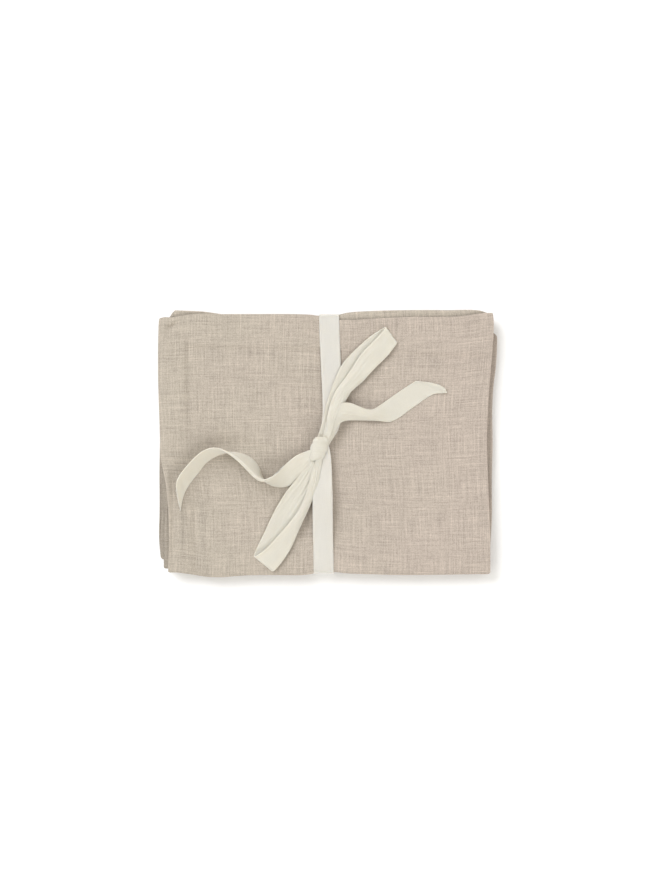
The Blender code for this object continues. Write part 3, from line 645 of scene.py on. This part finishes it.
def stack_top(x, y):
    """Height of the topmost layer, in mm, over the bundle."""
    left, right = x + 168.6, 165.4 - x
    near, far = y + 132.0, 130.4 - y
    h = STACK_TOP + 0.0 * x
    # the rim rounds off, more at the folds than at the hems
    h -= 2.3 * np.exp(-np.maximum(left, 0) / 4.0)
    h -= 2.1 * np.exp(-np.maximum(near, 0) / 4.0)
    h -= 1.1 * np.exp(-np.maximum(right, 0) / 5.0)
    h -= 1.1 * np.exp(-np.maximum(far, 0) / 5.0)
    # the folds stand a little full, just inside the rim
    h += 0.55 * ridge(left - 17.0, 13.0) + 0.45 * ridge(near - 16.0, 12.0)
    # slow swells and small buckles
    h += 0.42 * n_low(x, y, 66.0) + 0.20 * n_mid(x, y, 27.0)
    h += 0.10 * n_fine(x, y, 11.0, 19.0)
    # the turned hems underneath show through as soft steps
    far_step = curve([(-170, 97.5), (-141, 96.5), (-60, 95.0), (0, 93.5), (60, 92.0), (90, 89.0), (165, 87.0)])(x) - 1.6
    span = smooth01((x + 146) / 10) * (1 - 0.75 * ridge(x - 40, 32))
    h += span * (1.0 * smooth01((y - far_step + 2.5) / 9.0) - 0.95 * ridge(y - far_step, 3.0))
    left_step = curve([(-135, -140.0), (0, -141.0), (30, -141.0), (60, -141.2), (100, -141.6), (135, -142.0)])(y)
    span = smooth01((y - 18) / 16) * smooth01((108 - y) / 6)
    h += span * (0.90 * smooth01((left_step - x + 2.0) / 6.0) - 0.80 * ridge(x - left_step - 1.8, 2.3))
    # a dent by the far left corner
    along = (x + 156.5) * 0.83 + (y - 117.0) * 0.55
    across = -(x + 156.5) * 0.55 + (y - 117.0) * 0.83
    h -= 2.4 * ridge(along, 6.5) * ridge(across, 2.4)
    h += 0.9 * ridge(along, 7.5) * ridge(across - 4.4, 3.0)
    # soft upright creases by the near left corner
    h -= 1.8 * ridge(x + 132.5 + 0.02 * (y + 100), 4.2) * smooth01((-56 - y) / 14)
    h -= 0.8 * ridge(x + 138.0, 14.0) * smooth01((-50 - y) / 24)
    h -= 1.3 * ridge(x + 155.0, 2.6) * smooth01((-22 - y) / 14) * smooth01((y + 124) / 20)
    h += 0.7 * ridge(x + 160.5, 3.4) * smooth01((-18 - y) / 14)
    # the cloth gives way a little beside the knot
    h -= 1.7 * ridge(x + 13.0, 11.0) * ridge(y - 22.0, 26.0)
    h -= 4.4 * ridge(x - 14.0, 10.0) * ridge(y - 12.0, 15.0)
    h -= 3.0 * ridge(x - 38.0, 14.0) * ridge(y - 41.0, 9.0)
    h -= 4.0 * ridge(x + 22.5, 8.0) * ridge(y + 82.0, 20.0)
    # and to the right of its near run, where a soft fold leads away from it
    h -= 2.9 * ridge(x - 9.0, 11.0) * ridge(y + 70.0, 32.0)
    bent = -96.0 - 0.10 * (x - 10.0)
    h -= 0.9 * ridge(y - bent, 7.0) * smooth01((x - 4.0) / 12.0) * smooth01((66.0 - x) / 30.0)
    h += 0.5 * ridge(y - bent + 13.0, 8.0) * smooth01((x - 8.0) / 12.0) * smooth01((60.0 - x) / 30.0)
    # a hollow follows the far side of the left tail
    h -= 3.0 * ridge(y + 1.0 + 0.010 * (x + 98.0) ** 2, 9.0) * ridge(x + 96.0, 30.0)
    h -= 1.6 * ridge(x + 54.0, 16.0) * ridge(y + 21.0, 9.0)
    # the tape presses in along its run, and most at the two edges it bends over
    off = x - band_x(y)
    press = smooth01((14.0 - np.abs(off)) / 6.0)
    run = smooth01((np.abs(y) - 34.0) / 22.0)
    h -= 0.34 * press * run
    held = smooth01((20.0 - np.abs(off)) / 10.0)
    h -= 2.3 * held * np.exp(-np.maximum(far, 0) / 8.0)
    h -= 2.3 * held * np.exp(-np.maximum(near, 0) / 8.0)
    h += 0.35 * ridge(np.abs(off) - 25.0, 6.0) * (np.exp(-np.maximum(far, 0) / 12.0) + np.exp(-np.maximum(near, 0) / 12.0))
    return h


def stack_bottom(x, y):
    """Height of the lowest layer: on the table, but lifted where the tape runs under it."""
    off = np.abs(x - (-1.7 + 0.0213 * y))
    return 0.48 + 0.72 * smooth01((13.5 - off) / 3.2)


def fold(c, half, r):
    """How a length bends round a fold: its half turn, and the straight distance past it."""
    q = c - half
    bend = 0.5 * math.pi * r
    angle = np.clip(q / r, -0.5 * math.pi, 0.5 * math.pi)
    past = np.maximum(np.abs(q) - bend, 0.0)
    return angle, past


def spacing(length, coarse_first, coarse_second, dense=()):
    """Sample places along a cloth's full length: close at the hems and the middle fold."""
    half = 0.5 * length
    hem = [0.0, 0.3, 0.75, 1.4, 2.4, 3.6, 5.4, 7.2, 8.6, 9.2, 10.4, 12.4]
    fold_in = [0.0, 0.18, 0.36, 0.54, 0.72, 0.9, 1.1, 1.35, 1.65, 2.1, 2.8, 3.8, 5.2, 7.0, 9.0]
    first = list(np.linspace(hem[-1], half - fold_in[-1], int((half - 21.0) / coarse_first))[1:-1])
    second = list(np.linspace(half + fold_in[-1], length - hem[-1], int((half - 21.0) / coarse_second))[1:-1])
    places = hem + first + [half - f for f in fold_in[::-1]] + [half + f for f in fold_in[1:]] \
        + second + [length - h for h in hem[::-1]]
    for low, high, step in dense:
        places = [p for p in places if not low <= p <= high] + list(np.arange(low, high, step))
    places = np.array(sorted(set(np.round(places, 3))))
    keep = np.concatenate([[True], np.diff(places) > 0.12])
    return places[keep]


def fold_cloth(index, fine, rough):
    """One cloth as a single sheet folded in half twice, laid in the stack."""
    spec = OUTLINES[index]
    left, right = curve(spec["left"]), curve(spec["right"])
    bottom, top = curve(spec["bottom"]), curve(spec["top"])
    wobble = [noise(200 + 10 * index + j) for j in range(6)]
    g = PLY_GAP
    r1, r2 = 0.5 * g, g
    dense_s, dense_t = (), ()
    if index == 0:
        dense_s, dense_t = ((290.0, 322.0, 1.3),), ((476.0, 496.0, 1.2),)
    if index == 2:
        dense_t = ((CLOTH_LONG * 2 - 26, CLOTH_LONG * 2 - 12.6, 1.2),)
    s = spacing(2 * CLOTH_WIDE, fine, rough, dense_s)
    t = spacing(2 * CLOTH_LONG, rough, fine, dense_t)
    S, T = np.meshgrid(s, t, indexing="ij")
    # first fold, at the left: the sheet's far half goes underneath
    a1, past1 = fold(S, CLOTH_WIDE, r1)
    side1 = -np.sin(a1)
    d1 = np.where(past1 > 0, past1 + r1, r1 * (1 - np.cos(a1)))
    # second fold, at the near edge: both layers bend together
    a2, past2 = fold(T, CLOTH_LONG, r2)
    side2 = np.sin(a2)
    rho = r2 + side1 * r1
    d2 = np.where(past2 > 0, past2 + r2 + r1, r2 + r1 - rho * np.cos(a2))
    u = np.clip(d1 / (CLOTH_WIDE - 0.5 * math.pi * r1 + r1), 0, 1)
    v = np.clip(d2 / (CLOTH_LONG - 0.5 * math.pi * r2 + r2 + r1), 0, 1)
    y0 = -131.0 + 261.0 * v
    x0 = -168.0 + 332.0 * u
    # the four layers never line up exactly at the open edges, nor at the folds
    lead = 1.0 if index == 0 else 0.35
    under = 0.5 * (1 - side1 * side2 * 0 - side1)          # 0 on the outer half, 1 on the inner
    back = 0.5 * (1 - side2)                                # 0 on the upper pair, 1 on the lower
    slack = 1.5 * under + 1.0 * back
    x_right = right(y0) - slack * (1.0 + 0.5 * wobble[0](y0, 0 * y0, 60.0)) \
        + (1 - lead) * 0.7 * wobble[1](y0, 17.0 * under + 31.0 * back, 45.0)
    x_left = left(y0) + 1.2 * back * smooth01(v / 0.12) * (0.6 + wobble[2](y0, 0 * y0, 70.0))
    front = top(x0)
    behind = curve(spec["behind"])(x0) if "behind" in spec else front
    inner = np.clip(under + back, 0.0, 1.0)
    y_top = front + inner * (behind - front) \
        - (1.1 * np.clip(under + back - 1.0, 0, 1) + 0.3 * back) * (1.0 + 0.6 * wobble[3](x0, 0 * x0, 55.0)) \
        + (1 - lead) * 0.5 * wobble[4](x0, 23.0 * under + 37.0 * back, 40.0)
    y_low = bottom(x0) + 0 * x0
    # round the corners
    from_near, from_far = d2, (1 - v) * CLOTH_LONG
    for gap, radius in ((from_near, 1.7), (from_far, 1.2)):
        inset = radius - np.sqrt(np.maximum(radius ** 2 - np.maximum(radius - gap, 0) ** 2, 0))
        x_left = x_left + inset
        x_right = x_right - 0.8 * inset
    x = x_left + u * (x_right - x_left)
    y = y_low + v * (y_top - y_low)
    # height: this layer's share of the stack
    layer = 4 * (3 - index) + 1.5 + side2 * rho / g
    low, high = stack_bottom(x, y), stack_top(x, y)
    z = low + (high - low) * layer / (PLIES - 1)
    # past the front panel's edge the next layers dip, then lie a little proud again
    panel = curve(OUTLINES[0]["top"])(x)
    past = curve(OUTLINES[0]["behind"])(x) - panel
    showing = smooth01((past - 0.8) / 2.0)
    depth = np.clip((layer - 7.5) / 6.5, 0.0, 1.0) * (layer < 14.6)
    z = z - showing * depth * (0.85 * ridge(y - panel - 0.5, 1.3) - 0.35 * smooth01((y - panel - 1.6) / 1.6))
    z = z + 0.22 * showing * (layer > 14.6) * smooth01((y - panel + 5.0) / 5.0)
    open_edge = np.minimum((1 - u) * CLOTH_WIDE, (1 - v) * CLOTH_LONG)
    flutter = np.exp(-open_edge / 16.0)
    z = z + 0.12 * flutter * wobble[5](x + 90.0 * under, y + 140.0 * back, 24.0)
    # thickness: a double-turned hem along every cut edge, with a rounded lip
    edge = np.minimum(np.minimum(S, 2 * CLOTH_WIDE - S), np.minimum(T, 2 * CLOTH_LONG - T))
    thick = np.where(edge < HEM_WIDE, HEM_THICK, CLOTH_THIN)
    thick = np.where((edge >= HEM_WIDE - 0.5) & (edge < HEM_WIDE + 0.1), 0.66, thick)
    thick = np.where(edge < 0.1, 0.26, np.where(edge < 0.5, 0.60, np.where(edge < 1.0, 0.80, thick)))
    points = np.stack([x, y, z], axis=-1)
    uvs = np.stack([S * MM, T * MM], axis=-1)
    return thick_grid("cloth_%d_linen" % (index + 1), points, thick, uvs, linens[index]), points, s, t


for i in range(4):
    fine, rough = (2.6, 6.5) if i == 0 else (5.5, 7.5)
    made, grid_points, s_places, t_places = fold_cloth(i, fine, rough)
    node = "linen_cloth_%d" % (i + 1)
    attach(made, "root")
    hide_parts(node)


# ------------------------------------------------------------------ the tape
def catmull(rows, count):
    """Smooth stations through control rows (n, k, 3), spaced evenly along the middle."""
    rows = np.asarray(rows, float)
    n = len(rows)
    fine = []
    for i in range(n - 1):
        p0, p1 = rows[max(i - 1, 0)], rows[i]
        p2, p3 = rows[i + 1], rows[min(i + 2, n - 1)]
        for t in np.linspace(0, 1, 14, endpoint=False):
            fine.append(0.5 * (2 * p1 + (p2 - p0) * t + (2 * p0 - 5 * p1 + 4 * p2 - p3) * t * t
                               + (3 * p1 - p0 - 3 * p2 + p3) * t ** 3))
    fine.append(rows[-1])
    fine = np.array(fine)
    middle = fine[:, :, :3].mean(axis=1)
    run = np.concatenate([[0], np.cumsum(np.linalg.norm(np.diff(middle, axis=0), axis=1))])
    stations = np.linspace(0, run[-1], count or max(int(run[-1] / 1.3), 8))
    i = np.clip(np.searchsorted(run, stations, side="right") - 1, 0, len(run) - 2)
    f = ((stations - run[i]) / np.maximum(run[i + 1] - run[i], 1e-9))[:, None, None]
    return fine[i] * (1 - f) + fine[i + 1] * f, stations


def across(points, columns):
    """Resamples one control row to evenly spaced points across the tape."""
    points = np.array(points, float)
    run = np.concatenate([[0], np.cumsum(np.linalg.norm(np.diff(points, axis=0), axis=1))])
    want = np.linspace(0, run[-1], columns)
    return np.stack([np.interp(want, run, points[:, c]) for c in range(3)], axis=-1)


def ribbon(name, rows, seed, columns=15, fine_folds=0.0):
    """A length of tape lofted through rows of (points across, crown, gathering)."""
    grid = []
    for points, crown, gather in rows:
        line = across(points, columns)
        extra = np.zeros((columns, 2))
        extra[:, 0], extra[:, 1] = crown, gather
        grid.append(np.concatenate([line, extra], axis=1))
    grid, stations = catmull(grid, None)
    base, crown, gather = grid[..., :3], grid[..., 3], grid[..., 4]
    v = np.linspace(0, 1, columns)[None, :]
    normal = grid_normals(base)
    facing = normal[..., 2]
    lift = np.sign(facing) * np.minimum(1.0, 3.0 * np.abs(facing))
    rng = np.random.default_rng(seed)
    folds = np.zeros_like(crown)
    for waves, weight in ((2.3, 0.5), (3.9, 0.6), (5.8, 0.5)):
        phase = rng.uniform(0, 2 * math.pi)
        drift = rng.uniform(-0.012, 0.012)
        folds = folds + weight * np.sin(2 * math.pi * waves * v + phase + drift * stations[:, None] * waves)
    shape = crown * 4 * v * (1 - v) * lift + gather * folds * np.sin(math.pi * v) ** 0.6
    points = base + normal * shape[..., None]
    # a hand-tied tape is never dead flat
    small = noise(seed + 500)
    creases = noise(seed + 700)
    points = points + normal * (fine_folds * gather * 0.6
                                * creases(stations[:, None] + 0 * v, v * 20.0, 26.0, 1.25))[..., None]
    points = points + normal * (0.10 * small(stations[:, None] + 0 * v, v * 20.0, 13.0, 9.0))[..., None]
    return points, stations, v


def settle(points, support, clearance):
    """Keeps a length of tape on or above what it lies on."""
    floor = support(points[..., 0], points[..., 1]) + clearance
    low = points[..., 2]
    points[..., 2] = np.where(low < floor, floor, low)
    return points


def tape_piece(name, points, stations, v, node, wrap=False, look=None):
    columns = points.shape[1]
    thick = np.full(points.shape[:2], TAPE_THICK)
    thick[:, 0] = thick[:, -1] = 0.34
    thick[:, 1] = thick[:, -2] = TAPE_THICK + 0.06
    uvs = np.stack([v * TAPE_WIDE * MM + 0 * stations[:, None],
                    stations[:, None] * MM + 0 * v], axis=-1)
    made = thick_grid(name, points, thick, uvs, look or tape_look, wrap)
    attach(made, "root")
    if node:
        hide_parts(node)
    return made


# The band: one strip from the knot, over the far edge, under the stack, over the near edge
# and back up to the knot.
def band_rows():
    span_far, span_near = np.linspace(-9.5, 11.5, 15), np.linspace(-15.0, 6.0, 15)
    rim_far = max(float(curve(o[key])(span_far).max()) for o in OUTLINES for key in ("top", "behind") if key in o)
    rim_near = min(float(curve(o["bottom"])(span_near).min()) for o in OUTLINES)
    rim_far, rim_near = rim_far + 0.78, rim_near - 0.72

    def over(x, y, rise):
        return float(stack_top(x, y)) + rise

    line = [(x, y, max(z, over(x, y, 0.64)) if y > 36 else z, w) for x, y, z, w in BAND_TOP]
    line += [(1.4, 116.0, over(1.4, 116.0, 0.66), 10.0), (1.2, 122.0, over(1.2, 122.0, 0.72), 10.0),
             (1.1, rim_far - 2.6, over(1.1, 126.0, 0.62), 10.0), (1.0, rim_far - 0.7, over(1.0, 127.4, -0.5), 10.0),
             (1.0, rim_far, 11.0, 10.0), (1.0, rim_far, 7.5, 10.0), (1.0, rim_far - 0.1, 4.2, 10.0),
             (1.0, rim_far - 0.8, 1.7, 10.0), (1.0, rim_far - 3.0, 0.56, 10.0), (0.9, rim_far - 8.0, 0.36, 10.0)]
    for y in (100.0, 66.0, 33.0, 0.0, -33.0, -66.0, -100.0):
        line.append((-1.7 + 0.0213 * y, y, 0.36, 10.0))
    line += [(-4.2, rim_near + 8.0, 0.36, 10.0), (-4.3, rim_near + 3.0, 0.56, 10.0), (-4.4, rim_near + 0.8, 1.7, 10.0),
             (-4.4, rim_near + 0.1, 4.2, 10.0), (-4.4, rim_near, 7.5, 10.0), (-4.4, rim_near, 11.0, 10.0),
             (-4.4, rim_near + 0.7, over(-4.4, -127.4, -0.5), 10.0), (-4.4, rim_near + 2.6, over(-4.4, -126.0, 0.62), 10.0),
             (-4.45, -121.5, over(-4.45, -121.5, 0.72), 10.0), (-4.5, -115.5, over(-4.5, -115.5, 0.66), 10.0)]
    line += [(x, y, max(z, over(x, y, 0.64)) if y < -36 else z, w) for x, y, z, w in BAND_NEAR]
    return [(((x - w, y, z), (x + w, y, z)), 0.0, 0.0) for x, y, z, w in line]


points, stations, v = ribbon("tape_band_strip", band_rows(), 31)
upper_side = points[..., 2] > 15.0
lean = curve([(-135, 0.0), (-60, 0.15), (-20, 0.9), (0, 0.0), (20, -0.7), (60, -0.1), (135, 0.0)])(points[..., 1])
points[..., 2] += np.where(upper_side, lean * (v - 0.5) * 2.0, 0.0)
points[..., 2] = np.maximum(points[..., 2], 0.5 * TAPE_THICK + 0.02)
band = tape_piece("tape_band_strip", points, stations, v, "tape_band")


def over_band(x, y):
    """The height that a tape end lies on: the cloth, or the band where it runs."""
    cloth = stack_top(x, y) - 0.5 * CLOTH_THIN + 2 * 0.23
    path = curve([(-108, 18.6), (-77, 19.1), (-62, 19.6), (-48, 20.3), (-34, 21.2), (-22, 22.1), (-12, 22.7),
                  (4, 22.9), (12, 22.1), (22, 21.2), (33, 20.3), (46, 19.4), (60, 18.9), (106, 18.6)])(y)
    near = smooth01((11.6 - np.abs(x - band_x(y))) / 1.6) * smooth01((108 - np.abs(y)) / 3)
    # under the bow the band and the loops share the knot, so only its flat runs hold things up
    return np.maximum(cloth, near * (path - 0.3) + (1 - near) * cloth)


def lay(rows, drop=0.72):
    """Lets the low rows of a traced length settle towards the cloth."""
    out = []
    for points, crown, gather in rows:
        low = []
        for x, y, z in points:
            low.append((x, y, z - drop * min(max((21.5 - z) / 2.6, 0.0), 1.0)))
        out.append((low, crown, gather))
    return out


for name, rows, node, seed, columns, look in (
        ("bow_loop_upper_tape", LOOP_UPPER_ROWS, "bow_loop_upper", 41, 33, bow_bounce_look),
        ("bow_loop_lower_tape", LOOP_LOWER_ROWS, "bow_loop_lower", 42, 33, bow_bounce_look),
        ("tape_tail_right_end", TAIL_RIGHT_ROWS, "tape_tail_right", 43, 25, bow_bounce_look),
        ("tape_tail_left_end", TAIL_LEFT_ROWS, "tape_tail_left", 44, 25, bow_bounce_look)):
    points, stations, v = ribbon(name, lay(rows), seed, columns, 1.0)
    points = settle(points, over_band, 0.36)
    made = tape_piece(name, points, stations, v, node, look=look)


# The knot: the tape's full width wrapped once round the crossing.
def knot_wrap():
    around, along = 84, 34
    phi = np.linspace(0, 2 * math.pi, around, endpoint=False)[:, None]
    w = np.linspace(-1, 1, along)[None, :]
    centre = np.array([-9.8, -6.8, 25.1])
    axis = unit(np.array([0.27, 0.963, 0.075]))
    side = unit(np.array([axis[1], -axis[0], 0.0]))
    up = np.array([0.0, 0.0, 1.0])
    lip = smooth01((np.abs(w) - 0.66) / 0.34)
    girth = 1.0 - 0.06 * np.abs(w) ** 3 - (0.24 - 0.10 * w) * lip + 0.03 * w
    reach = w * (13.2 - 1.0 * lip) + 0.5
    slant = 1.5 * np.cos(phi) + 1.0 * np.sin(phi)
    folds = (0.40 * np.sin(1.7 * math.pi * w + 1.6 + 0.5 * np.cos(phi))
             + 0.26 * np.sin(3.6 * math.pi * w + 0.9 * np.sin(phi + 0.6))
             + 0.14 * np.sin(6.3 * math.pi * w + 2.0 + 0.7 * np.cos(phi)))
    dent = -0.8 * np.exp(-((phi - 0.9) / 0.5) ** 2 - ((w - 0.35) / 0.25) ** 2)
    body = girth * (1.0 + (folds + dent) / 9.0)
    points = (centre + axis * (reach + slant)[..., None]
              + side * (7.5 * body * np.cos(phi))[..., None]
              + up * (4.3 * body * np.sin(phi))[..., None])
    lengths = 9.3 * phi * 0.78
    uvs = np.stack([(w * 0.5 + 0.5) * TAPE_WIDE * MM + 0 * phi, lengths * MM + 0 * w], axis=-1)
    thick = np.full(points.shape[:2], TAPE_THICK)
    thick[:, 0] = thick[:, -1] = 0.34
    made = thick_grid("tape_knot_wrap", points, thick, uvs, bow_bounce_look, wrap=True)
    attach(made, "root")
    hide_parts("tape_knot")
    return made


knot = knot_wrap()


def fray(name, start, end, outward, seed, count=26):
    """Loose yarns along a cut end: fine bent fibres in one mesh."""
    rng = np.random.default_rng(seed)
    start, end = np.array(start, float), np.array(end, float)
    outward = unit(np.array(outward, float))
    verts, faces = [], []
    for i in range(count):
        root = start + (end - start) * ((i + rng.uniform(0.1, 0.9)) / count) - outward * 0.8
        length = rng.uniform(1.3, 2.6) if rng.uniform() < 0.8 else rng.uniform(2.6, 3.8)
        bend = np.array([rng.normal(0, 0.35), rng.normal(0, 0.35), rng.normal(0.0, 0.15)])
        radius = rng.uniform(0.09, 0.15)
        base = len(verts)
        for step in range(5):
            f = step / 4.0
            here = root + (outward * f + bend * f * f) * length
            side = unit(np.cross(outward, [0, 0, 1.0]))
            up = np.cross(side, outward)
            r = radius * (1.0 - 0.55 * f)
            for corner in range(4):
                a = math.pi / 2 * corner
                verts.append(here + side * r * math.cos(a) + up * r * math.sin(a))
        for step in range(4):
            for corner in range(4):
                a, c = base + 4 * step + corner, base + 4 * step + (corner + 1) % 4
                faces.append((a, c, c + 4, a + 4))
        faces.append(tuple(base + 3 - k for k in range(4)))
        faces.append(tuple(base + 16 + k for k in range(4)))
    verts = np.array(verts)
    uvs = np.stack([verts[:, 0], verts[:, 1]], axis=-1) * MM
    made = make_object(name, verts, faces, uvs, tape_look)
    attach(made, "root")
    return made


fray_right = [
    fray("tape_tail_right_fray", (90.5, 62.0, 19.3), (118.6, 50.4, 19.5), (0.55, 0.82, 0.02), 61, 34),
    fray("tape_tail_left_fray", (-150.9, -44.5, 29.6), (-147.6, -66.8, 19.5), (-0.25, -0.95, -0.15), 62, 24),
]

# ------------------------------------------------------------------ floor and light
bpy.ops.mesh.primitive_plane_add(size=9.0, location=(0.0, 0.0, 0.0))
floor = bpy.context.active_object
floor.name = "studio_floor"
look = Nodes("studio_white")
look.shader.inputs["Base Color"].default_value = (0.97, 0.97, 0.97, 1.0)
look.shader.inputs["Roughness"].default_value = 0.9
look.shader.inputs["Specular IOR Level"].default_value = 0.1
look.shader.inputs["Emission Color"].default_value = (1.0, 1.0, 1.0, 1.0)
look.shader.inputs["Emission Strength"].default_value = 0.10
floor.data.materials.append(look.material)


def sun(name, towards, strength, degrees, colour=(1.0, 1.0, 1.0)):
    data = bpy.data.lights.new(name, "SUN")
    data.energy = strength
    data.angle = math.radians(degrees)
    data.color = colour
    obj = bpy.data.objects.new(name, data)
    x, y, z = towards
    obj.rotation_mode = "QUATERNION"
    from mathutils import Vector
    obj.rotation_quaternion = Vector((x, y, z)).to_track_quat("-Z", "Y")
    obj.location = (-x * 2, -y * 2, -z * 2)
    bpy.context.scene.collection.objects.link(obj)
    return obj


sun("key_softbox", (0.71, -0.73, -0.92), 1.80, 36.0, (0.98, 1.0, 1.06))
fill = sun("fill_softbox", (-0.66, 0.84, -0.84), 1.02, 40.0, (1.0, 1.0, 1.0))
pieces_only = bpy.data.collections.new("fill_receivers")
for piece in list(bpy.context.scene.objects):
    if piece.type == "MESH" and piece is not floor:
        pieces_only.objects.link(piece)
fill.light_linking.receiver_collection = pieces_only
world = bpy.data.worlds.new("studio_world")
world.use_nodes = True
world.node_tree.nodes["Background"].inputs[0].default_value = (1.0, 0.98, 0.93, 1.0)
world.node_tree.nodes["Background"].inputs[1].default_value = 0.85
bpy.context.scene.world = world
